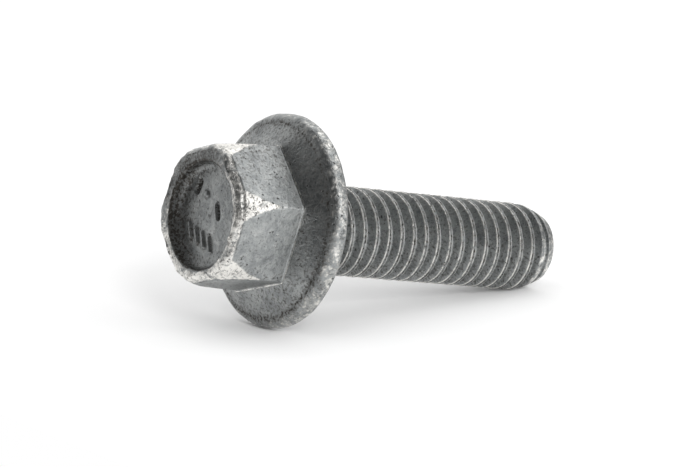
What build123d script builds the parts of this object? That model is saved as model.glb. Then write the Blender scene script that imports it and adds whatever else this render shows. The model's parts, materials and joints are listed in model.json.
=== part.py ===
from build123d import *
import os
from math import asin, atan2, ceil, cos, degrees, hypot, pi, radians, sin, tan

# A cold-forged hex flange bolt with a rolled thread nearly up to the flange, in millimetres.
# It is drawn on its own axis: bearing face at height 0, head above it, shank below it. At the end it
# is laid down as it comes to rest, on the flange's rim and the shank's tip, with the tip towards +X.

# Thread: 3/8-16 UNC, with the undersize that leaves room for a thick zinc coat.
pitch = 25.4 / 16
major_diameter = 9.3
thread_depth = 0.85
crest_flat = 0.2
flank_angle = 30.0
thread_turn = -135.0

# Shank: a short plain neck under the flange, the thread's run-out cone, and the rounded tip
neck_diameter = 9.4
neck_length = 1.8
neck_fillet = 0.4
run_out_length = 1.6
length = 32.7
tip_length = 4.6
tip_drop = 1.0
tip_clearance = 0.12

# Flange
flange_diameter = 21.75
rim_thickness = 2.0
rim_round_under = 0.45
rim_round_over = 1.0

# Hexagon, with crowned corners and a small ledge where it meets the flange
across_flats = 13.7
hex_turn = 46.0
hex_foot_height = 3.35
foot_ledge = 0.15
crown_base_growth = 1.158
crown_middle_growth = 1.13
head_height = 10.75

# Top of the head: rounded outer edges, and the dish that the punch left a little to one side
lip_radius = 0.75
lip_outer_radius = 7.05
flat_top_round = 1.5
flat_top_rise = 0.25
dish_mouth_radius = 5.65
dish_mouth_round = 0.45
dish_mouth_angle = 15.0
dish_depth = 1.3
dish_floor_radius = 5.1
dish_shift_up = -0.15
dish_shift_across = -0.4

# The forged head sits a little off the shank's axis, and the bolt rolls until the shank hangs low.
head_offset = 0.46

# How far the trimming shapes reach past what they trim
trim_margin = 1.0

crest_radius = major_diameter / 2
root_radius = crest_radius - thread_depth
neck_radius = neck_diameter / 2
flank_width = thread_depth * tan(radians(flank_angle))
rim_radius = flange_diameter / 2
flat_distance = across_flats / 2
tip_arc_rise = tip_drop + tip_clearance
tip_arc_radius = (tip_length**2 + tip_arc_rise**2) / (2 * tip_arc_rise)


def turned(lines):
    """A solid of revolution about the bolt's axis, from a closed outline of (radius, height)."""
    return revolve(Plane.XZ * Face(Wire(lines)), Axis.Z)


def helical_rod():
    """The right-hand thread as it is rolled: crest, flank, root and flank strips between helices.

    Both ends close with a helicoid and a step one pitch tall, which the head and the tip trim away.
    """
    bottom = -length - pitch
    turns = ceil(length / pitch) + 2
    profile = [
        (crest_radius, 0),
        (crest_radius, crest_flat),
        (root_radius, crest_flat + flank_width),
        (root_radius, pitch - flank_width),
    ]

    def helix(radius, height):
        return Edge.make_helix(pitch, pitch, radius, (0, 0, height))

    edges = [helix(radius, bottom + turn * pitch + rise) for turn in range(turns) for radius, rise in profile]
    edges.append(helix(crest_radius, bottom + turns * pitch))
    faces = [Face.make_surface_from_curves(lower, upper) for lower, upper in zip(edges, edges[1:])]
    for height in (bottom, bottom + turns * pitch):
        axis_line = Edge.make_line((0, 0, height), (0, 0, height + pitch))
        step = [(0, 0, height)]
        step += [(radius, 0, height + rise) for radius, rise in profile]
        step += [(crest_radius, 0, height + pitch), (0, 0, height + pitch)]
        faces.append(Face.make_surface_from_curves(axis_line, helix(crest_radius, height)))
        faces.append(Face(Wire.make_polygon(step, close=True)))
    return Rot(0, 0, thread_turn) * Solid(Shell(faces))


def tip_envelope():
    """The thread's outer limit: just clear of the crests, then rounding inward to the flat end."""
    top = -neck_length / 2
    outside = crest_radius + tip_clearance
    arc_start = tip_length - length
    end_radius = crest_radius - tip_drop
    middle = tip_length / 2
    middle_drop = tip_arc_radius - (tip_arc_radius**2 - middle**2) ** 0.5
    return turned(
        [
            Line((0, top), (outside, top)),
            Line((outside, top), (outside, arc_start)),
            ThreePointArc(
                (outside, arc_start),
                (outside - middle_drop, arc_start - middle),
                (end_radius, -length),
            ),
            Line((end_radius, -length), (0, -length)),
            Line((0, -length), (0, top)),
        ]
    )


def neck():
    """The plain neck, filleted into the bearing face above and thinning to the thread's roots below."""
    fillet_top = neck_radius + neck_fillet
    corner = 1 - cos(pi / 4)
    thin = root_radius - tip_clearance
    bottom = -neck_length - run_out_length
    return turned(
        [
            Line((0, rim_thickness), (fillet_top, rim_thickness)),
            Line((fillet_top, rim_thickness), (fillet_top, 0)),
            ThreePointArc(
                (fillet_top, 0),
                (neck_radius + neck_fillet * corner, -neck_fillet * corner),
                (neck_radius, -neck_fillet),
            ),
            Line((neck_radius, -neck_fillet), (neck_radius, -neck_length)),
            Line((neck_radius, -neck_length), (thin, bottom)),
            Line((thin, bottom), (0, bottom)),
            Line((0, bottom), (0, rim_thickness)),
        ]
    )


def threaded_shank():
    """The neck, and the helical rod with its end rounded at the tip."""
    return neck() + (helical_rod() & tip_envelope())


def hexagon(flat_radius):
    """The outline of a hexagon whose flats lie at flat_radius from the axis."""
    corner = flat_radius / cos(pi / 6)
    angles = [radians(hex_turn + 60 * side) for side in range(7)]
    points = [(corner * cos(angle), corner * sin(angle)) for angle in angles]
    return Wire([Line(points[side], points[side + 1]) for side in range(6)])


def flange():
    """The rim, and a skirt that passes from the rim's circle to the foot of the hexagon."""
    shoulder = rim_radius - rim_round_over
    under_edge = rim_radius - rim_round_under
    corner = 1 - cos(pi / 4)
    rim = turned(
        [
            Line((0, 0), (under_edge, 0)),
            ThreePointArc(
                (under_edge, 0),
                (rim_radius - rim_round_under * corner, rim_round_under * corner),
                (rim_radius, rim_round_under),
            ),
            Line((rim_radius, rim_round_under), (rim_radius, rim_thickness - rim_round_over)),
            ThreePointArc(
                (rim_radius, rim_thickness - rim_round_over),
                (rim_radius - rim_round_over * corner, rim_thickness - rim_round_over * corner),
                (shoulder, rim_thickness),
            ),
            Line((shoulder, rim_thickness), (0, rim_thickness)),
            Line((0, rim_thickness), (0, 0)),
        ]
    )
    circle = Wire([CenterArc((0, 0), shoulder, hex_turn + 60 * side, 60) for side in range(6)])
    foot = hexagon(flat_distance + foot_ledge)
    skirt = Solid.make_loft([Pos(0, 0, rim_thickness) * circle, Pos(0, 0, hex_foot_height) * foot], True)
    return rim + skirt


def crown():
    """The die's shape: a barrel that trims the hexagon's corners and rounds over to the flat top."""
    lip_middle = lip_outer_radius - lip_radius
    lip_height = head_height - lip_radius
    middle_height = (hex_foot_height + lip_height) / 2
    base = crown_base_growth * flat_distance
    outside = base + trim_margin
    halfway = lip_radius * cos(pi / 4)
    return turned(
        [
            Line((0, 0), (outside, 0)),
            Line((outside, 0), (outside, hex_foot_height)),
            Line((outside, hex_foot_height), (base, hex_foot_height)),
            ThreePointArc(
                (base, hex_foot_height),
                (crown_middle_growth * flat_distance, middle_height),
                (lip_outer_radius, lip_height),
            ),
            ThreePointArc(
                (lip_outer_radius, lip_height),
                (lip_middle + halfway, lip_height + halfway),
                (lip_middle, head_height),
            ),
            Line((lip_middle, head_height), (0, head_height)),
            Line((0, head_height), (0, 0)),
        ]
    )


def punch():
    """The tool that presses the dish: a flat end, a steep wall tangent to the rounding of its mouth."""
    mouth_angle = radians(dish_mouth_angle)
    round_across = dish_mouth_radius + dish_mouth_round * sin(mouth_angle)
    round_height = head_height - dish_mouth_round * cos(mouth_angle)
    floor_height = head_height - dish_depth
    wall_width = round_across - dish_floor_radius
    wall_rise = round_height - floor_height
    slope_angle = atan2(wall_rise, wall_width) + asin(dish_mouth_round / hypot(wall_rise, wall_width))
    halfway = (mouth_angle + slope_angle) / 2

    def on_round(angle):
        return (round_across - dish_mouth_round * sin(angle), round_height + dish_mouth_round * cos(angle))

    mouth = (dish_mouth_radius, head_height)
    above = head_height + trim_margin
    tool = turned(
        [
            Line((0, floor_height), (dish_floor_radius, floor_height)),
            Line((dish_floor_radius, floor_height), on_round(slope_angle)),
            ThreePointArc(on_round(slope_angle), on_round(halfway), mouth),
            Line(mouth, (dish_mouth_radius, above)),
            Line((dish_mouth_radius, above), (0, above)),
            Line((0, above), (0, floor_height)),
        ]
    )
    return Pos(dish_shift_up, dish_shift_across, 0) * tool


def head():
    """The round-topped hexagon inside the crown, standing on the flange, with the dish in its top."""
    prism = extrude(Face(hexagon(flat_distance)), head_height + flat_top_rise)
    rounded = fillet(prism.edges().group_by(Axis.Z)[-1], flat_top_round)
    return flange() + (rounded & crown()) - punch()


def resting_tilt():
    """How far the shank's axis leans from level when the rim and the tip both touch the ground."""
    rim_reach = rim_radius - head_offset - rim_round_under
    tip_reach = crest_radius + tip_clearance - tip_arc_radius
    along = length - tip_length + rim_round_under
    between = hypot(along, rim_reach - tip_reach)
    return degrees(atan2(rim_reach - tip_reach, along) - asin((tip_arc_radius - rim_round_under) / between))


def whole_bolt():
    """Head and shank in one piece, laid down on the rim and the tip with the box centred on the origin."""
    upright = Pos(head_offset, 0, 0) * head() + threaded_shank()
    leaning = Rot(0, resting_tilt() - 90, 0) * upright
    box = leaning.bounding_box()
    return Pos(-box.center().X, -box.center().Y, -box.min.Z) * leaning


os.makedirs("parts", exist_ok=True)
export_step(whole_bolt(), "parts/flange_bolt.step")
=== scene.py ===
import json
from math import asin, atan2, cos, hypot, pi, radians, sin, sqrt, tan

import bpy
import numpy as np
from mathutils import Matrix, Vector, noise


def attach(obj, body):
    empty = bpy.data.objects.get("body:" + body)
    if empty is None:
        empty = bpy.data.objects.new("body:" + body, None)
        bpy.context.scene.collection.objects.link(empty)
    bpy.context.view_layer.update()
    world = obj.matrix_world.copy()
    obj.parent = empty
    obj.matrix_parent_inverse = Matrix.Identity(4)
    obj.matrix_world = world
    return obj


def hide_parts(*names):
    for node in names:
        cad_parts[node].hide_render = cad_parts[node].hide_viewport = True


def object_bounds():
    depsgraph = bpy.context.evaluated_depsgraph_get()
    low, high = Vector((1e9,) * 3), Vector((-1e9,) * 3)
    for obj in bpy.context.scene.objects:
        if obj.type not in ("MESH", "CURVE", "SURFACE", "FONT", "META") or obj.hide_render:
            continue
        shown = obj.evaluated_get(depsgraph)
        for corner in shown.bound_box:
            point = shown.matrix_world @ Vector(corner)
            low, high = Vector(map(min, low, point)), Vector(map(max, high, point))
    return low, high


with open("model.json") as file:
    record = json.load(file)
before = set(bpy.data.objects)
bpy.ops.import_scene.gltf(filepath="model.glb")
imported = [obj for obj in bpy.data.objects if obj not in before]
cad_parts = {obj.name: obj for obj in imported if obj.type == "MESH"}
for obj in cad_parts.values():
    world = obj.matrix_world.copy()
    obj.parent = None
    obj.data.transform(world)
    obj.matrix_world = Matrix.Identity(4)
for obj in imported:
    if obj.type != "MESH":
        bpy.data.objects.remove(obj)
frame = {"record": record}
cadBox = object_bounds()  # the solid model's box, before anything is added
print("frame loaded")

# where the bolt lies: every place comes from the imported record's mounts
mounts = {mount["name"]: mount for mount in frame["record"]["mounts"]}
shankWay = Vector(mounts["thread"]["axis"]).normalized()  # from the head towards the tip
tipCentre = Vector(mounts["thread"]["pos_m"])
headWay = -shankWay
rollUp = Vector((-shankWay.z, 0, shankWay.x))  # square to the shank, and mostly up
acrossWay = headWay.cross(rollUp)

# the bolt's sizes in mm, on its own axis: bearing face at height 0, head above, shank below
bolt = {
    "pitch": 25.4 / 16,
    "crestRadius": 4.65,
    "threadDepth": 0.85,
    "crestFlat": 0.38,  # with the coat on it
    "flankAngle": 30,
    "threadTurn": -135,
    "length": 32.7,
    "tipLength": 4.6,
    "tipDrop": 1.0,
    "tipClearance": 0.12,
    "neckRadius": 4.7,
    "neckLength": 1.8,
    "neckFillet": 0.4,
    "runOutLength": 1.6,
    "rimRadius": 10.875,
    "rimThickness": 2.0,
    "rimRoundUnder": 0.45,
    "rimRoundOver": 1.0,
    "flatDistance": 6.85,
    "hexTurn": 46,
    "footHeight": 3.35,
    "footLedge": 0.15,
    "crownBase": 1.158,
    "crownMiddle": 1.13,
    "headHeight": 10.75,
    "lipRadius": 0.75,
    "lipOuter": 7.05,
    "flatTopRound": 1.5,
    "flatTopRise": 0.25,
    "mouthRadius": 5.65,
    "mouthRound": 0.45,
    "mouthAngle": 15,
    "dishDepth": 1.3,
    "dishFloor": 5.1,
    "dishShift": (-0.15, -0.4),
    "headOffset": 0.46,
    "markEdge": 0.2,
    # softened edges
    "edgeSoftness": 0.14,  # how far the flats and the crown blend, from years in a bin of bolts
    "cornerSoftness": 0.1,
    "skirtSoftness": 2.4,  # how fast the hexagon's corners fade out down the skirt
    "crestSoftness": 0.05,
    "crestEdge": 0.02,  # where the crest's edges begin to round, as a share of the flank
    "coveRadius": 0.15,
    "seamDepth": 0.08,  # the fold that thread rolling leaves along the crest
    "seamWidth": 0.075,
    "hollowRadius": 0.8,  # between the dish's floor and its wall
    # lumps from forging and the thick coat
    "unevenness": 0.03,
    "lipUnevenness": 0.12,
    "floorLumps": 0.12,  # shares of the lip's
    "wallLumps": 0.5,
    "rimLumps": 0.15,
    "rimUnderLumps": 0.1,
    "shankLumps": 0.45,
    "lumpSize": 1.6,
    "smallLumpSize": 0.6,
    "smallLumpShare": 0.6,
    "lumpSink": 0.9,  # keeps the lumps below the true surface
    # rows and columns of the mesh
    "sideColumns": 40,  # across each flat of the hexagon
    "cornerCrowding": 0.08,  # brings the columns closer at the corners
    "shankColumns": 120,
    "rowsPerPitch": 21,
    "floorRows": 44,
    "hollowRows": 6,
    "wallSteps": (0.33, 0.67),  # shares of the way up the dish's wall
    "mouthRows": 9,
    "lipRows": 12,
    "sideRows": 53,
    "coveRows": 6,
    "skirtFirstSteps": [0.02, 0.05, 0.09],  # closer near the foot
    "skirtRows": 18,
    "rimOverRows": 8,
    "rimUnderRows": 7,
    "bearingRows": 6,
    "filletRows": 4,
    "endRows": 10,
    "innerRadius": 0.15,  # of the first ring in the dish
    "endInnerRadius": 0.2,
    "endInset": 0.08,
    # wear (1 is rubbed bright) and grime (1 is caked), which also carry painted highlight and painted shade, before
    # the coat's blotches break them up
    "floorGrime": 0.1,
    "floorFarDarkening": 0.35,  # darker towards the far side of the dish
    "floorEdgeShade": 0.2,
    "floorEdge": (3.4, 4.6),  # where painted shade darkens the dish's floor next to its wall
    "farSide": (0, 4.6),  # mm across, from the dish's middle
    "markShade": 0.45,
    "sunkMarkShade": 1.6,  # painted shade fills the sunk marks and rings the raised ones' foot
    "markFoot": 0.13,
    # grime and painted shade in the dish's hollow and on its wall, with painted shade deepening up the hollow
    "hollowDirtAndShade": 0.35,
    # darker towards the far side of the dish
    "hollowFarDarkening": 0.3,
    "hollowRiseShade": 0.25,
    "wallDirtAndShade": 0.85,
    "lipDarkening": 0.6,  # the lip is darker on one side
    "lipDarkeningWay": 0.55,  # that side, in radians round from the top
    "lipDarkeningSpread": (-0.1, 0.95),
    "mouthWear": 0.75,
    "mouthGrime": 0.15,
    # grime and painted shade, growing inwards towards the dish's wall
    "mouthInnerDirtAndShade": 1.5,
    "lipWear": 0.75,
    "lipGrime": 0.12,
    "lipRoundWear": 0.78,
    "lipRoundGrime": 0.08,
    "coneWear": 0.92,
    "coneEdge": (-0.12, 0.06),  # mm from where the cone and the flats cross
    "sideGrime": 0.42,  # least at the sides, where hands and tools rub
    # painted highlight: the concave cove at the hexagon's foot is painted bright
    "coveHighlight": 0.9,
    "skirtFootHighlight": 0.7,
    "skirtFootHighlightFade": 24,  # a painted highlight, on the skirt's very foot only
    "skirtGrime": 0.34,
    "skirtEndShade": 0.45,  # painted shade in the crease at the rim
    "skirtEndPower": 12,
    "rimWear": 0.47,
    "rimUnderWear": 0.5,
    "rimGrime": 0.33,
    # painted shade in the crease between the skirt and the rim's round
    "rimCreaseShade": 0.5,
    # painted light: the rim's top is painted lighter
    "rimTopPaintedLight": 0.15,
    "bearingWear": 0.15,
    "bearingGrime": 0.3,
    "filletWear": 0.1,
    "filletGrime": 0.6,
    # grime and painted shade in the thread's valleys
    "threadDirtAndShade": 0.33,
    # painted light: the thread's top is painted lighter and its underside darker
    "threadTopPaintedLight": 0.12,
    "threadDirtAndShadeStart": (0.05, 0.3),  # share of the thread's depth
    "lastTurns": (0.5, 3.5),  # mm from where the tip starts to round
    "lastTurnsWear": 0.5,
    "lastTurnsWidth": 0.4,  # mm to either side of the crest
    "cutCrestWear": 0.55,
    "endWear": 0.2,
    "endGrime": 0.5,
    "dishMiddleGrime": 0.4,
}

bearingCentre = tipCentre - shankWay * bolt["length"] / 1000
boltPlace = Matrix.Translation(bearingCentre) @ Matrix((rollUp, acrossWay, headWay)).transposed().to_4x4()

# plain strokes in the dish, in mm from its middle: (up, across) to (up, across), half width, height
dishMarks = [
    ((3.1, 2.55), (2.2, 2.9), 0.26, -0.7),
    ((2.1, 1.2), (2.1, 1.1), 0.26, 0.22),
    ((1.3, -0.9), (0.1, -1.4), 0.17, -0.5),
    ((-1.2, 3.3), (-2.5, 2.7), 0.14, 0.25),
    ((-1.5, 2.1), (-2.8, 1.5), 0.14, 0.25),
    ((-1.8, 0.9), (-3.1, 0.3), 0.14, 0.25),
    ((-2.1, -0.3), (-3.4, -0.9), 0.14, 0.25),
]


def smoothLeast(first, second, reach):
    share = np.clip(0.5 + 0.5 * (second - first) / reach, 0, 1)
    return second + (first - second) * share - reach * share * (1 - share)


def smoothStep(low, high, value):
    share = np.clip((value - low) / (high - low), 0, 1)
    return share * share * (3 - 2 * share)


def rowsTo(start, end, count):
    return np.linspace(start, end, count + 1)[1:]  # without the start, where the ring before lies


def hexReach(angles, flat, softness):
    # how far the hexagon's outline is from the axis, with its corners softened
    turned = (angles - radians(bolt["hexTurn"])) % (pi / 3)
    nearest = np.minimum(turned, pi / 3 - turned)
    return smoothLeast(flat / np.cos(turned - pi / 6), flat / np.cos(nearest + pi / 6), softness)


def arcThrough(start, middle, end):
    pairs = (start, middle), (middle, end)
    rows = [[2 * (b[0] - a[0]), 2 * (b[1] - a[1])] for a, b in pairs]
    sums = [b[0] ** 2 + b[1] ** 2 - a[0] ** 2 - a[1] ** 2 for a, b in pairs]
    centre = np.linalg.solve(rows, sums)
    return centre[0], centre[1], hypot(start[0] - centre[0], start[1] - centre[1])


def markRise(up, across):
    # how far the strokes stand up or sink in, and how much painted shade lies in and round them
    rise, dirtAndShade = np.zeros_like(up), np.zeros_like(up)
    for start, end, width, height in dishMarks:
        way = np.array(end) - np.array(start)
        share = np.clip(((up - start[0]) * way[0] + (across - start[1]) * way[1]) / way.dot(way), 0, 1)
        gap = np.hypot(up - start[0] - share * way[0], across - start[1] - share * way[1])
        stroke = 1 - smoothStep(width, width + bolt["markEdge"], gap)
        rise = rise + height * stroke
        foot = np.exp(-(((gap - width - bolt["markEdge"]) / bolt["markFoot"]) ** 2))
        dirtAndShade = np.maximum(dirtAndShade, foot if height > 0 else bolt["sunkMarkShade"] * stroke)
    return rise, dirtAndShade


def flatAt(height):
    # how far the flats stand from the axis: they round over near the head's top
    over = max(0, height - (bolt["headHeight"] + bolt["flatTopRise"] - bolt["flatTopRound"]))
    return bolt["flatDistance"] - bolt["flatTopRound"] + sqrt(bolt["flatTopRound"] ** 2 - over**2)


def makeRing(angles, middle, radius, height, scuffAndHighlight, dirtAndShade, lumps=0, crestGap=1):
    # points round the axis, each with its place, wear and painted highlight, grime and painted shade, lumps and mm
    # from the crest's middle
    place = middle[0] + radius * np.cos(angles), middle[1] + radius * np.sin(angles), height
    columns = [np.asarray(column, float) for column in (*place, scuffAndHighlight, dirtAndShade, lumps, crestGap)]
    return np.stack([np.broadcast_to(column, angles.shape) for column in columns], 1)


def headRings():
    # rings from the middle of the dish out over the lip, down the hexagon and the skirt, and round the rim
    fractions = np.arange(bolt["sideColumns"]) / bolt["sideColumns"]
    fractions = fractions - bolt["cornerCrowding"] * np.sin(2 * pi * fractions)
    angles = np.concatenate([radians(bolt["hexTurn"]) + pi / 3 * (side + fractions) for side in range(6)])
    up, across = np.cos(angles), np.sin(angles)
    rings = []

    def addRing(radius, height, scuffAndHighlight, dirtAndShade, lumps=0, dished=0):
        # the dish sits a little to one side, and the lip carries its shift half way
        middle = bolt["headOffset"] + dished * bolt["dishShift"][0], dished * bolt["dishShift"][1]
        rings.append(makeRing(angles, middle, radius, height, scuffAndHighlight, dirtAndShade, lumps))

    lipMiddle = bolt["lipOuter"] - bolt["lipRadius"]
    lipHeight = bolt["headHeight"] - bolt["lipRadius"]
    floorHeight = bolt["headHeight"] - bolt["dishDepth"]
    mouthAngle = radians(bolt["mouthAngle"])
    mouthMiddle = bolt["mouthRadius"] + bolt["mouthRound"] * sin(mouthAngle)
    mouthHeight = bolt["headHeight"] - bolt["mouthRound"] * cos(mouthAngle)
    wallWidth, wallRise = mouthMiddle - bolt["dishFloor"], mouthHeight - floorHeight
    slope = atan2(wallRise, wallWidth) + asin(bolt["mouthRound"] / hypot(wallRise, wallWidth))
    hollow = bolt["hollowRadius"] * tan(slope / 2)  # how much floor the turn up into the wall takes

    for radius in np.linspace(bolt["innerRadius"], bolt["dishFloor"] - hollow, bolt["floorRows"]):
        # painted shade in and round the marks
        rise, markShading = markRise(radius * up, radius * across)
        # darker towards the dish's far side
        far = bolt["floorFarDarkening"] * smoothStep(*bolt["farSide"], radius * across)
        # painted shade on the floor next to the wall
        edge = bolt["floorEdgeShade"] * smoothStep(*bolt["floorEdge"], radius)
        settled = bolt["floorGrime"] + far + edge + bolt["markShade"] * markShading
        addRing(radius, floorHeight + rise, 0, settled, bolt["floorLumps"], 1)
    for turn in rowsTo(0, slope, bolt["hollowRows"]):
        radius = bolt["dishFloor"] - hollow + bolt["hollowRadius"] * sin(turn)
        height = floorHeight + bolt["hollowRadius"] * (1 - cos(turn))
        # darker towards the dish's far side
        far = bolt["hollowFarDarkening"] * smoothStep(*bolt["farSide"], radius * across)
        # grime and painted shade in the hollow, darker up towards the wall
        settled = bolt["hollowDirtAndShade"] + far + bolt["hollowRiseShade"] * turn / slope
        addRing(radius, height, 0, settled, bolt["wallLumps"], 1)
    mouthFoot = mouthMiddle - bolt["mouthRound"] * sin(slope), mouthHeight + bolt["mouthRound"] * cos(slope)
    # grime and painted shade on the dish's wall
    for step in bolt["wallSteps"]:
        wallRadius, wallHeight = radius + (mouthFoot[0] - radius) * step, height + (mouthFoot[1] - height) * step
        addRing(wallRadius, wallHeight, 0, bolt["wallDirtAndShade"], bolt["wallLumps"], 1)

    # the lip is darker on one side
    lipDarkened = bolt["lipDarkening"] * smoothStep(*bolt["lipDarkeningSpread"], np.cos(angles - bolt["lipDarkeningWay"]))
    for turn in np.linspace(slope, mouthAngle, bolt["mouthRows"]):
        inward = (turn - mouthAngle) / (slope - mouthAngle)
        scuffAndHighlight = bolt["mouthWear"] * (1 - inward) ** 4 - lipDarkened
        # grime and painted shade grow inwards towards the wall
        dirtAndShade = bolt["mouthGrime"] + lipDarkened + bolt["mouthInnerDirtAndShade"] * inward
        radius, height = mouthMiddle - bolt["mouthRound"] * sin(turn), mouthHeight + bolt["mouthRound"] * cos(turn)
        addRing(radius, height, scuffAndHighlight, dirtAndShade, 1 - bolt["wallLumps"] * inward, 1)
    lipWear, lipGrime = bolt["lipWear"] - lipDarkened, bolt["lipGrime"] + lipDarkened
    addRing((bolt["mouthRadius"] + lipMiddle) / 2, bolt["headHeight"], lipWear, lipGrime, 1, 0.5)
    for turn in np.linspace(0, pi / 2, bolt["lipRows"]):
        height = lipHeight + bolt["lipRadius"] * cos(turn)
        hexagon = hexReach(angles, flatAt(height), bolt["cornerSoftness"])
        radius = smoothLeast(lipMiddle + bolt["lipRadius"] * sin(turn), hexagon, bolt["edgeSoftness"])
        scuffAndHighlight = bolt["lipRoundWear"] - lipDarkened * cos(turn)
        addRing(radius, height, scuffAndHighlight, bolt["lipRoundGrime"] + lipDarkened * cos(turn), 1)

    base = bolt["crownBase"] * bolt["flatDistance"], bolt["footHeight"]
    middle = bolt["crownMiddle"] * bolt["flatDistance"], (bolt["footHeight"] + lipHeight) / 2
    crownAcross, crownHeight, crownRadius = arcThrough(base, middle, (bolt["lipOuter"], lipHeight))
    coveTop = bolt["footHeight"] + bolt["coveRadius"]
    for height in rowsTo(lipHeight, coveTop, bolt["sideRows"]):
        crown = crownAcross + sqrt(crownRadius**2 - (height - crownHeight) ** 2)
        hexagon = hexReach(angles, flatAt(height), bolt["cornerSoftness"])
        onCone = 1 - smoothStep(*bolt["coneEdge"], crown - hexagon)
        radius = smoothLeast(crown, hexagon, bolt["edgeSoftness"])
        addRing(radius, height, bolt["coneWear"] * onCone, bolt["sideGrime"] * up**2)
    for turn in rowsTo(0, pi / 2, bolt["coveRows"]):  # the cove at the hexagon's foot, painted bright as a highlight
        radius = hexagon + bolt["coveRadius"] * (1 - cos(turn))
        addRing(radius, coveTop - bolt["coveRadius"] * sin(turn), bolt["coveHighlight"] * sin(turn) ** 4, 0)

    shoulder = bolt["rimRadius"] - bolt["rimRoundOver"]
    for step in bolt["skirtFirstSteps"] + list(np.linspace(0.14, 1, bolt["skirtRows"])):
        height = bolt["footHeight"] + (bolt["rimThickness"] - bolt["footHeight"]) * step
        softness = bolt["cornerSoftness"] + bolt["skirtSoftness"] * sqrt(step)
        outline = hexReach(angles, bolt["flatDistance"] + bolt["footLedge"], softness)
        # painted highlight at the skirt's very foot
        scuffAndHighlight = max(0, bolt["skirtFootHighlight"] - bolt["skirtFootHighlightFade"] * step)
        # painted shade, darkest in the crease at the rim
        dirtAndShade = bolt["skirtGrime"] + bolt["skirtEndShade"] * step ** bolt["skirtEndPower"]
        addRing(outline + (shoulder - outline) * step, height, scuffAndHighlight, dirtAndShade)
    # the rim's top is painted lighter
    rimGrime = bolt["rimGrime"] - bolt["rimTopPaintedLight"] * up
    for turn in rowsTo(0, pi / 2, bolt["rimOverRows"]):
        radius = shoulder + bolt["rimRoundOver"] * sin(turn)
        height = bolt["rimThickness"] - bolt["rimRoundOver"] * (1 - cos(turn))
        # painted shade in the crease at the rim's inner edge
        dirtAndShade = rimGrime + bolt["rimCreaseShade"] * (1 - sin(turn)) ** 2
        addRing(radius, height, bolt["rimWear"] * sin(turn), dirtAndShade, bolt["rimLumps"])
    for turn in np.linspace(0, pi / 2, bolt["rimUnderRows"]):
        radius = bolt["rimRadius"] - bolt["rimRoundUnder"] * (1 - cos(turn))
        height = bolt["rimRoundUnder"] * (1 - sin(turn))
        addRing(radius, height, bolt["rimUnderWear"] - turn / pi, rimGrime, bolt["rimUnderLumps"])
    inner = bolt["neckRadius"] + bolt["neckFillet"]
    for step in rowsTo(0, 1, bolt["bearingRows"]):  # the bearing face, from the head's middle to the shank's
        radius = (bolt["rimRadius"] - bolt["rimRoundUnder"]) * (1 - step) + inner * step
        middle = bolt["headOffset"] * (1 - step), 0
        dirtAndShade = bolt["bearingGrime"] * (1 + step)
        rings.append(makeRing(angles, middle, radius, 0, bolt["bearingWear"], dirtAndShade))
    return rings


def threadRings():
    # rings from the neck's fillet down over the thread to the middle of the flat end
    angles = radians(bolt["hexTurn"]) + np.arange(bolt["shankColumns"]) * 2 * pi / bolt["shankColumns"]
    rings = []

    def addRing(radius, height, scuffAndHighlight, dirtAndShade, crestGap=1):
        rings.append(makeRing(angles, (0, 0), radius, height, scuffAndHighlight, dirtAndShade, 0, crestGap))

    for turn in rowsTo(0, pi / 2, bolt["filletRows"]):
        radius = bolt["neckRadius"] + bolt["neckFillet"] * (1 - sin(turn))
        addRing(radius, -bolt["neckFillet"] * (1 - cos(turn)), bolt["filletWear"], bolt["filletGrime"])

    crest, depth, softness = bolt["crestRadius"], bolt["threadDepth"], bolt["crestSoftness"]
    root = crest - depth
    flank = depth * tan(radians(bolt["flankAngle"]))
    firstCrest = -bolt["length"] - bolt["pitch"] + bolt["crestFlat"] / 2
    arcRise = bolt["tipDrop"] + bolt["tipClearance"]
    arcRadius = (bolt["tipLength"] ** 2 + arcRise**2) / (2 * arcRise)
    thin = root - bolt["tipClearance"]
    # the thread's top is painted lighter and its underside darker
    threadDirtAndShade = bolt["threadDirtAndShade"] - bolt["threadTopPaintedLight"] * np.cos(angles)
    count = int((bolt["length"] - bolt["neckFillet"]) / bolt["pitch"] * bolt["rowsPerPitch"])
    for height in rowsTo(-bolt["neckFillet"], -bolt["length"], count - 1):
        along = (height - firstCrest) / bolt["pitch"] - (angles - radians(bolt["threadTurn"])) / (2 * pi)
        gap = np.abs((along + 0.5) % 1 - 0.5) * bolt["pitch"]  # distance from the nearest crest
        slant = (gap - bolt["crestFlat"] / 2) / flank
        thread = crest - depth * np.clip(slant, 0, 1)
        thread = smoothLeast(thread, crest - depth * (slant - bolt["crestEdge"]), softness)
        thread = np.maximum(thread, root) - bolt["seamDepth"] * np.exp(-((gap / bolt["seamWidth"]) ** 2))
        limit = crest + bolt["tipClearance"]
        down = -height - (bolt["length"] - bolt["tipLength"])
        if down > 0:  # the tip rounds inward
            limit = limit - arcRadius + sqrt(arcRadius**2 - down**2)
        runOut = np.clip((-height - bolt["neckLength"]) / bolt["runOutLength"], 0, 1)
        neck = bolt["neckRadius"] - (bolt["neckRadius"] - thin) * runOut
        radius = -smoothLeast(-smoothLeast(thread, limit, softness), -neck, softness)
        # grime and painted shade grow from the crest towards the root
        dirtAndShade = threadDirtAndShade * smoothStep(*bolt["threadDirtAndShadeStart"], (crest - radius) / depth)
        worn = bolt["lastTurnsWear"] * smoothStep(*bolt["lastTurns"], down) * (gap < bolt["lastTurnsWidth"])
        cut = thread > limit
        addRing(radius, height, np.where(cut, bolt["cutCrestWear"], worn), dirtAndShade, np.where(cut, 1, gap))
    endRadius = crest - bolt["tipDrop"] - bolt["endInset"]
    for radius in np.linspace(endRadius, bolt["endInnerRadius"], bolt["endRows"]):
        addRing(radius, -bolt["length"], bolt["endWear"], bolt["endGrime"])
    return rings


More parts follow.
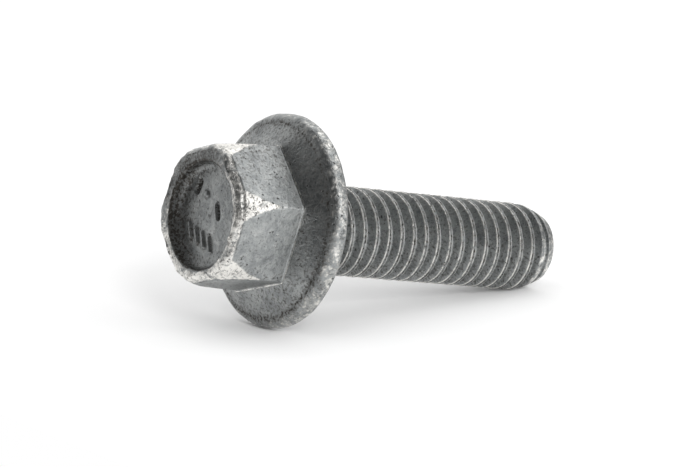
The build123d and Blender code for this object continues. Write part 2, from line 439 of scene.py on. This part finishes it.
def ringFaces(starts, counts, dishMiddle, endMiddle):
    faces = []
    for column in range(counts[0]):
        faces.append((dishMiddle, starts[0] + column, starts[0] + (column + 1) % counts[0]))
    for top, bottom, many, few in zip(starts, starts[1:], counts, counts[1:]):
        for column in range(few):
            following = (column + 1) % few
            if many == few:
                faces.append((top + column, bottom + column, bottom + following, top + following))
            else:  # two columns of the head meet one of the shank
                left, middle, right = top + 2 * column, top + 2 * column + 1, top + (2 * column + 2) % many
                faces.append((left, bottom + column, middle))
                faces.append((middle, bottom + column, bottom + following))
                faces.append((middle, bottom + following, right))
    for column in range(counts[-1]):
        faces.append((starts[-1] + column, endMiddle, starts[-1] + (column + 1) % counts[-1]))
    return faces


def boltSkin():
    rings = headRings() + threadRings()
    counts = [len(ring) for ring in rings]
    starts = [sum(counts[:index]) for index in range(len(counts))]
    dishMiddle = bolt["headOffset"], 0, rings[0][0][2], 0, bolt["dishMiddleGrime"], 0, 1
    endMiddle = 0, 0, -bolt["length"], 0, bolt["endGrime"], 0, 1
    points = np.concatenate(rings + [[dishMiddle, endMiddle]])
    verts, lumps = points[:, :3], points[:, 5]

    mesh = bpy.data.meshes.new("boltSkin")
    mesh.from_pydata(verts.tolist(), [], ringFaces(starts, counts, len(verts) - 2, len(verts) - 1))
    mesh.update()
    normals = np.array([normal.vector for normal in mesh.vertex_normals])
    spots = [Vector(place) for place in verts]
    uneven = np.array([noise.noise(spot / bolt["lumpSize"]) for spot in spots])
    elsewhere = Vector((7, 3, 1))  # so that the small lumps don't repeat the large ones
    small = np.array([noise.noise(spot / bolt["smallLumpSize"] + elsewhere) for spot in spots])
    uneven = uneven + bolt["smallLumpShare"] * small - bolt["lumpSink"]
    lift = (bolt["unevenness"] + (bolt["lipUnevenness"] - bolt["unevenness"]) * lumps) * uneven
    lift = lift * np.where(verts[:, 2] < -0.2, bolt["shankLumps"], 1.0)
    lift = lift * smoothStep(0.0, 0.02, np.abs(verts[:, 2]))  # the bearing face stays flat
    verts = (verts + normals * lift[:, None]) / 1000
    mesh.vertices.foreach_set("co", np.array([boltPlace @ Vector(place) for place in verts]).ravel())
    # wear also carries painted highlight, grime also carries painted shade
    for name, column in (("scuffAndHighlight", 3), ("dirtAndShade", 4), ("crestGap", 6)):
        layer = mesh.attributes.new(name, "FLOAT", "POINT")
        layer.data.foreach_set("value", np.clip(points[:, column], 0, 1).astype(np.float32))
    mesh.shade_smooth()
    mesh.update()
    return bpy.data.objects.new("boltSkin", mesh)


def linearColour(code):
    parts = [int(code[start:start + 2], 16) / 255 for start in (1, 3, 5)]
    return [part / 12.92 if part <= 0.04045 else ((part + 0.055) / 1.055) ** 2.4 for part in parts] + [1]


def perMetre(sizeInMm):
    return 1000 / sizeInMm  # a texture scale whose pattern repeats about every sizeInMm


def addNode(tree, kind, settings=None, values=None, links=None, stops=None):
    node = tree.nodes.new("ShaderNode" + kind)
    for name, value in (settings or {}).items():
        setattr(node, name, value)
    for name, value in (values or {}).items():
        node.inputs[name].default_value = value
    for name, source in (links or {}).items():
        tree.links.new(source, node.inputs[name])
    if stops:  # a ramp's places and colours, where a plain number is a grey
        elements = node.color_ramp.elements
        while len(elements) < len(stops):
            elements.new(0.5)
        for element, (position, colour) in zip(elements, stops):
            element.position = position
            element.color = colour if isinstance(colour, list) else (colour, colour, colour, 1)
    return node


zincLook = {
    "deepGrey": "#8f9293",
    "midGrey": "#aeb1b1",
    "paleGrey": "#c6c8c7",
    # bare rubbed zinc, also the colour of the painted highlight in the hexagon's cove
    "scuffedAndHighlight": "#f1efea",
    # grime, also the colour of painted shade in creases, hollows, marks and thread valleys
    "dirtAndShadeColour": "#3d3a36",
    "pitColour": "#2b2a28",
    # sizes of the patterns in mm
    "cloudSize": 2.6,
    "blotchSize": 0.7,
    "grainSize": 0.28,  # real grain is finer, and would be too fine to show
    "wobbleSize": 0.4,
    "wobbleReach": 0.4,
    "pitSpacing": 0.5,
    "crackSize": 1.1,
    # how clouds and blotches mix, and where each grey lies in the mixture
    "cloudShare": 0.5,
    "deepPlace": 0.34,
    "midPlace": 0.5,
    "palePlace": 0.66,
    "grainShare": 0.8,
    "grainTones": [(0.3, 0.62), (0.46, 0.93), (0.7, 1.0)],
    # along the crest, by mm from its middle: darker in the fold, and a bright line on either side of it
    "foldDarkening": [(0.09, 0.75), (0.14, 0.0)],
    "crestLines": [(0.13, 0.0), (0.165, 0.88), (0.225, 0.88), (0.27, 0.0)],
    # how grime with its painted shade, and rubbing with its painted highlight, spread over blotches and grain
    "dirtAndShadeReach": 1.3,
    "dirtAndShadeBlotches": 1.0,
    "dirtAndShadeGrain": 3.8,
    "dirtAndShadeStart": -2.52,
    "dirtAndShadeSharpness": 0.8,
    "rubReach": 1.7,
    "rubBlotches": 2.2,
    "rubGrain": 2.4,
    "rubStart": -2.98,
    "rubSharpness": 1.2,
    # pits are more frequent under grime and painted shade and on bare metal and painted highlight, and cracks show on
    # rubbed ridges and on painted highlight
    "pitEdge": [(0.0, 0.95), (0.12, 0.85), (0.26, 0.0)],
    "pitArea": [(0.54, 0.0), (0.66, 1.0)],
    "pitsInDirtAndShade": 0.12,
    "pitsInScuffsAndHighlight": 0.13,
    "crackEdge": [(0.482, 0.0), (0.5, 0.6), (0.518, 0.0)],
    "crackArea": [(0.3, 0.0), (0.55, 1.0)],
    "crackDistortion": 0.8,
    # surface
    "roughness": [(0.35, 0.5), (0.65, 0.4)],
    "metallic": [(0.1, 1.0), (0.9, 0.75)],  # grime, and the painted shade in it, is no metal
    "pitDepth": -0.9,
    "grainHeight": 0.6,
    "bumpStrength": 0.8,
    "bumpDistance": 0.09,
}


def zincCoat(look):
    # Hot-dipped zinc on forged and thread-rolled steel: dull grey and cloudy, with dark pits where
    # the coat missed, bright bare ridges where bolts rubbed together, a painted highlight in the cove at the
    # hexagon's foot, and grime and painted shade in the grooves and creases.
    material = bpy.data.materials.new("hotDippedZinc")
    material.use_nodes = True
    tree = material.node_tree
    tree.nodes.clear()
    place = addNode(tree, "TexCoord").outputs["Object"]
    # wear also carries painted highlight, grime also carries painted shade
    scuffAndHighlight, dirtAndShade, crestGap = [addNode(tree, "Attribute", {"attribute_name": name}).outputs["Fac"]
                             for name in ("scuffAndHighlight", "dirtAndShade", "crestGap")]

    clouds = addNode(tree, "TexNoise", None, {"Scale": perMetre(look["cloudSize"]), "Detail": 4, "Roughness": 0.62},
                     {"Vector": place}).outputs["Fac"]
    blotches = addNode(tree, "TexNoise", None, {"Scale": perMetre(look["blotchSize"]), "Detail": 3, "Roughness": 0.6},
                       {"Vector": place}).outputs["Fac"]
    grain = addNode(tree, "TexNoise", None, {"Scale": perMetre(look["grainSize"]), "Detail": 3, "Roughness": 0.6},
                    {"Vector": place}).outputs["Fac"]
    wobble = addNode(tree, "TexNoise", None, {"Scale": perMetre(look["wobbleSize"]), "Detail": 2}, {"Vector": place})
    moved = addNode(tree, "VectorMath", {"operation": "MULTIPLY_ADD"}, {1: [look["wobbleReach"] / 1000] * 3},
                    {0: wobble.outputs["Color"], 2: place}).outputs["Vector"]
    cells = addNode(tree, "TexVoronoi", None, {"Scale": perMetre(look["pitSpacing"]), "Randomness": 1.0},
                    {"Vector": moved}).outputs["Distance"]
    folds = addNode(tree, "TexNoise", None,
                    {"Scale": perMetre(look["crackSize"]), "Detail": 3, "Distortion": look["crackDistortion"]},
                    {"Vector": moved}).outputs["Fac"]

    # the clean coat
    cloudPart = addNode(tree, "Math", {"operation": "MULTIPLY"}, {1: look["cloudShare"]}, {0: clouds}).outputs[0]
    mixed = addNode(tree, "Math", {"operation": "MULTIPLY_ADD"}, {1: 1 - look["cloudShare"]},
                    {0: blotches, 2: cloudPart}).outputs[0]
    greys = [(look[name + "Place"], linearColour(look[name + "Grey"])) for name in ("deep", "mid", "pale")]
    cloudy = addNode(tree, "ValToRGB", None, None, {"Fac": mixed}, greys).outputs["Color"]
    grainTone = addNode(tree, "ValToRGB", None, None, {"Fac": grain}, look["grainTones"]).outputs["Color"]
    colour = addNode(tree, "Mix", {"data_type": "RGBA", "blend_type": "MULTIPLY"}, {0: look["grainShare"]},
                     {6: cloudy, 7: grainTone}).outputs[2]

    # the thread's crest adds its own bright lines and its darker fold
    crestLines = addNode(tree, "ValToRGB", None, None, {"Fac": crestGap}, look["crestLines"]).outputs["Color"]
    foldDarkening = addNode(tree, "ValToRGB", None, None, {"Fac": crestGap}, look["foldDarkening"]).outputs["Color"]
    scuffAndHighlight = addNode(tree, "Math", {"operation": "MAXIMUM"}, None, {0: scuffAndHighlight, 1: crestLines}).outputs[0]
    dirtAndShade = addNode(tree, "Math", {"operation": "MAXIMUM"}, None, {0: dirtAndShade, 1: foldDarkening}).outputs[0]

    # blotches and grain break up the grime with its painted shade, and the rubbed places with their painted highlight
    shares = []
    for name, layer in (("dirtAndShade", dirtAndShade), ("rub", scuffAndHighlight)):
        grainPart = addNode(tree, "Math", {"operation": "MULTIPLY_ADD"},
                            {1: look[name + "Grain"], 2: look[name + "Start"]}, {0: grain}).outputs[0]
        uneven = addNode(tree, "Math", {"operation": "MULTIPLY_ADD"}, {1: look[name + "Blotches"]},
                         {0: blotches, 2: grainPart}).outputs[0]
        edge = addNode(tree, "Math", {"operation": "MULTIPLY_ADD"}, {1: look[name + "Reach"]},
                       {0: layer, 2: uneven}).outputs[0]
        shares.append(addNode(tree, "Math", {"operation": "MULTIPLY", "use_clamp": True},
                              {1: look[name + "Sharpness"]}, {0: edge}).outputs[0])
    dirtAndShadeShare, scuffsAndHighlightShare = shares

    # pits and cracks
    pitted = addNode(tree, "ValToRGB", None, None, {"Fac": cells}, look["pitEdge"]).outputs["Color"]
    often = addNode(tree, "Math", {"operation": "MULTIPLY_ADD"}, {1: look["pitsInDirtAndShade"]},
                    {0: dirtAndShadeShare, 2: wobble.outputs["Fac"]}).outputs[0]
    often = addNode(tree, "Math", {"operation": "MULTIPLY_ADD"}, {1: look["pitsInScuffsAndHighlight"]},
                    {0: scuffAndHighlight, 2: often}).outputs[0]
    pitArea = addNode(tree, "ValToRGB", None, None, {"Fac": often}, look["pitArea"]).outputs["Color"]
    pits = addNode(tree, "Math", {"operation": "MULTIPLY"}, None, {0: pitted, 1: pitArea}).outputs[0]
    cracked = addNode(tree, "ValToRGB", None, None, {"Fac": folds}, look["crackEdge"]).outputs["Color"]
    crackArea = addNode(tree, "ValToRGB", None, None, {"Fac": scuffAndHighlight}, look["crackArea"]).outputs["Color"]
    cracks = addNode(tree, "Math", {"operation": "MULTIPLY"}, None, {0: cracked, 1: crackArea}).outputs[0]
    pitShare = addNode(tree, "Math", {"operation": "MAXIMUM"}, None, {0: pits, 1: cracks}).outputs[0]

    # the grime colour also paints shade, the rubbed colour also paints highlight
    for share, layer in ((dirtAndShadeShare, "dirtAndShadeColour"), (scuffsAndHighlightShare, "scuffedAndHighlight"), (pitShare, "pitColour")):
        colour = addNode(tree, "Mix", {"data_type": "RGBA"}, {7: linearColour(look[layer])},
                         {0: share, 6: colour}).outputs[2]

    roughness = addNode(tree, "ValToRGB", None, None, {"Fac": mixed}, look["roughness"]).outputs["Color"]
    bareMetal = addNode(tree, "ValToRGB", None, None, {"Fac": dirtAndShadeShare}, look["metallic"]).outputs["Color"]
    height = addNode(tree, "Math", {"operation": "MULTIPLY_ADD"}, {1: look["grainHeight"]},
                     {0: grain, 2: blotches}).outputs[0]
    height = addNode(tree, "Math", {"operation": "MULTIPLY_ADD"}, {1: look["pitDepth"]},
                     {0: pitShare, 2: height}).outputs[0]
    bump = addNode(tree, "Bump", None, {"Strength": look["bumpStrength"], "Distance": look["bumpDistance"] / 1000},
                   {"Height": height}).outputs["Normal"]
    shader = addNode(tree, "BsdfPrincipled", None, None,
                     {"Base Color": colour, "Metallic": bareMetal, "Roughness": roughness, "Normal": bump})
    output = addNode(tree, "OutputMaterial", None, None, {"Surface": shader.outputs["BSDF"]})
    output.is_active_output = True
    return material


skin = boltSkin()
bpy.context.scene.collection.objects.link(skin)
skin.data.materials.append(zincCoat(zincLook))
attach(skin, "root")
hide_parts("flange_bolt")
print("bolt skin made:", len(skin.data.polygons), "faces")


studio = {
    "floorColour": "#f0f0f0",
    "floorRoughness": 0.9,
    "floorGloss": 0.1,
    "floorWidth": 6.0,
    "floorLeft": 0.03,  # the board ends soon past the head, so that the head faces a dark room
    "airStrength": 0.06,  # the dark room that the bolt reflects on the side of its head
    "wallStrength": 1.15,  # the lit wall behind the bolt
    "wallWay": (0.1, 0.97, 0.1),
    "wallEdge": 0.35,
    "wallFull": 0.95,
    "fillStrength": 1.02,  # soft light from all around, which only the matt surfaces take
    "backdropStrength": 1.0,
    "ceilingWidth": 1.4,
    "ceilingPlace": (0.9, 0, 0.9),
    "ceilingPower": 10.0,
    "keyWidth": 0.25,
    "keyDistance": 0.45,
    "keyWay": (0.36, -0.87, 0.33),
    "keyPower": 0.62,
    "floorLightAngle": 18,  # a far softbox for the matt floor alone, which throws the shadow back and left
    "floorLightWay": (-0.31, -0.85, 0.42),
    "floorLightStrength": 1.5,
}


def addFloor(look):
    low = Vector(cadBox[0])
    half = look["floorWidth"] / 2
    left = low.x - look["floorLeft"]
    corners = [(left, -half, low.z), (half, -half, low.z), (half, half, low.z), (left, half, low.z)]
    mesh = bpy.data.meshes.new("studioFloor")
    mesh.from_pydata(corners, [], [(0, 1, 2, 3)])
    floor = bpy.data.objects.new("studioFloor", mesh)
    bpy.context.scene.collection.objects.link(floor)
    material = bpy.data.materials.new("matPaintedBoard")  # even and matt, so it only takes shadows
    material.use_nodes = True
    shader = material.node_tree.nodes["Principled BSDF"]
    shader.inputs["Base Color"].default_value = linearColour(look["floorColour"])
    shader.inputs["Roughness"].default_value = look["floorRoughness"]
    shader.inputs["Specular IOR Level"].default_value = look["floorGloss"]
    mesh.materials.append(material)


def addLamp(name, kind, place, way, settings):
    light = bpy.data.lights.new(name, kind)
    for setting, value in settings.items():
        setattr(light, setting, value)
    lamp = bpy.data.objects.new(name, light)
    bpy.context.scene.collection.objects.link(lamp)
    lamp.location = place
    lamp.rotation_euler = way.to_track_quat("-Z", "Y").to_euler()
    return lamp


def addLamps(look):
    middle = (Vector(cadBox[0]) + Vector(cadBox[1])) / 2
    keyOffset = Vector(look["keyWay"]).normalized() * look["keyDistance"]
    addLamp("keySoftbox", "AREA", middle + keyOffset, -keyOffset,
            {"shape": "SQUARE", "size": look["keyWidth"], "energy": look["keyPower"]})
    ceiling = addLamp("ceilingSoftbox", "AREA", middle + Vector(look["ceilingPlace"]), Vector((0, 0, -1)),
                      {"shape": "SQUARE", "size": look["ceilingWidth"], "energy": look["ceilingPower"]})
    ceiling.visible_diffuse = False  # the metal alone takes it
    far = addLamp("farSoftbox", "SUN", (0, 0, 0), -Vector(look["floorLightWay"]),
                  {"angle": radians(look["floorLightAngle"]), "energy": look["floorLightStrength"]})
    far.visible_glossy = False


def addWorld(look):
    world = bpy.data.worlds.new("studioAir")
    world.use_nodes = True
    tree = world.node_tree
    tree.nodes.clear()
    white = (1, 1, 1, 1)
    way = addNode(tree, "TexCoord").outputs["Generated"]
    facing = addNode(tree, "VectorMath", {"operation": "DOT_PRODUCT"}, {1: Vector(look["wallWay"]).normalized()},
                     {0: way}).outputs["Value"]
    light = addNode(tree, "MapRange", {"interpolation_type": "SMOOTHSTEP"},
                    {"From Min": look["wallEdge"], "From Max": look["wallFull"],
                     "To Min": look["airStrength"], "To Max": look["wallStrength"]}, {"Value": facing})
    air = addNode(tree, "Background", None, {"Color": white}, {"Strength": light.outputs["Result"]})
    fill = addNode(tree, "Background", None, {"Color": white, "Strength": look["fillStrength"]})
    backdrop = addNode(tree, "Background", None, {"Color": white, "Strength": look["backdropStrength"]})
    path = addNode(tree, "LightPath")
    lit = addNode(tree, "MixShader", None, None,
                  {0: path.outputs["Is Diffuse Ray"], 1: air.outputs[0], 2: fill.outputs[0]})
    mixed = addNode(tree, "MixShader", None, None,
                    {0: path.outputs["Is Camera Ray"], 1: lit.outputs[0], 2: backdrop.outputs[0]})
    addNode(tree, "OutputWorld", None, None, {"Surface": mixed.outputs[0]})
    bpy.context.scene.world = world


# the camera's own way of standing: angles in degrees, and mm from the middle of the bearing face
cameraSet = {
    "heading": 54.1,
    "lookDown": 11.3,
    "lens": 167.3,
    "sensor": 36,
    "nearest": 10,  # nothing nearer is drawn
    "right": -6.64,
    "down": -0.78,
    "ahead": 328.2,
}


def addCamera(view):
    heading, dip = radians(view["heading"]), radians(view["lookDown"])
    forward = Vector((cos(heading) * cos(dip), sin(heading) * cos(dip), -sin(dip)))
    right = Vector((sin(heading), -cos(heading), 0))
    down = forward.cross(right)
    offset = right * view["right"] + down * view["down"] + forward * view["ahead"]
    data = bpy.data.cameras.new("studioCamera")
    data.lens = view["lens"]
    data.sensor_width = view["sensor"]
    data.clip_start = view["nearest"] / 1000
    camera = bpy.data.objects.new("studioCamera", data)
    bpy.context.scene.collection.objects.link(camera)
    camera.location = bearingCentre - offset / 1000
    camera.rotation_euler = forward.to_track_quat("-Z", "Y").to_euler()
    bpy.context.scene.camera = camera


addFloor(studio)
addCamera(cameraSet)
addLamps(studio)
addWorld(studio)
bpy.context.scene.view_settings.view_transform = "Standard"
print("studio set")
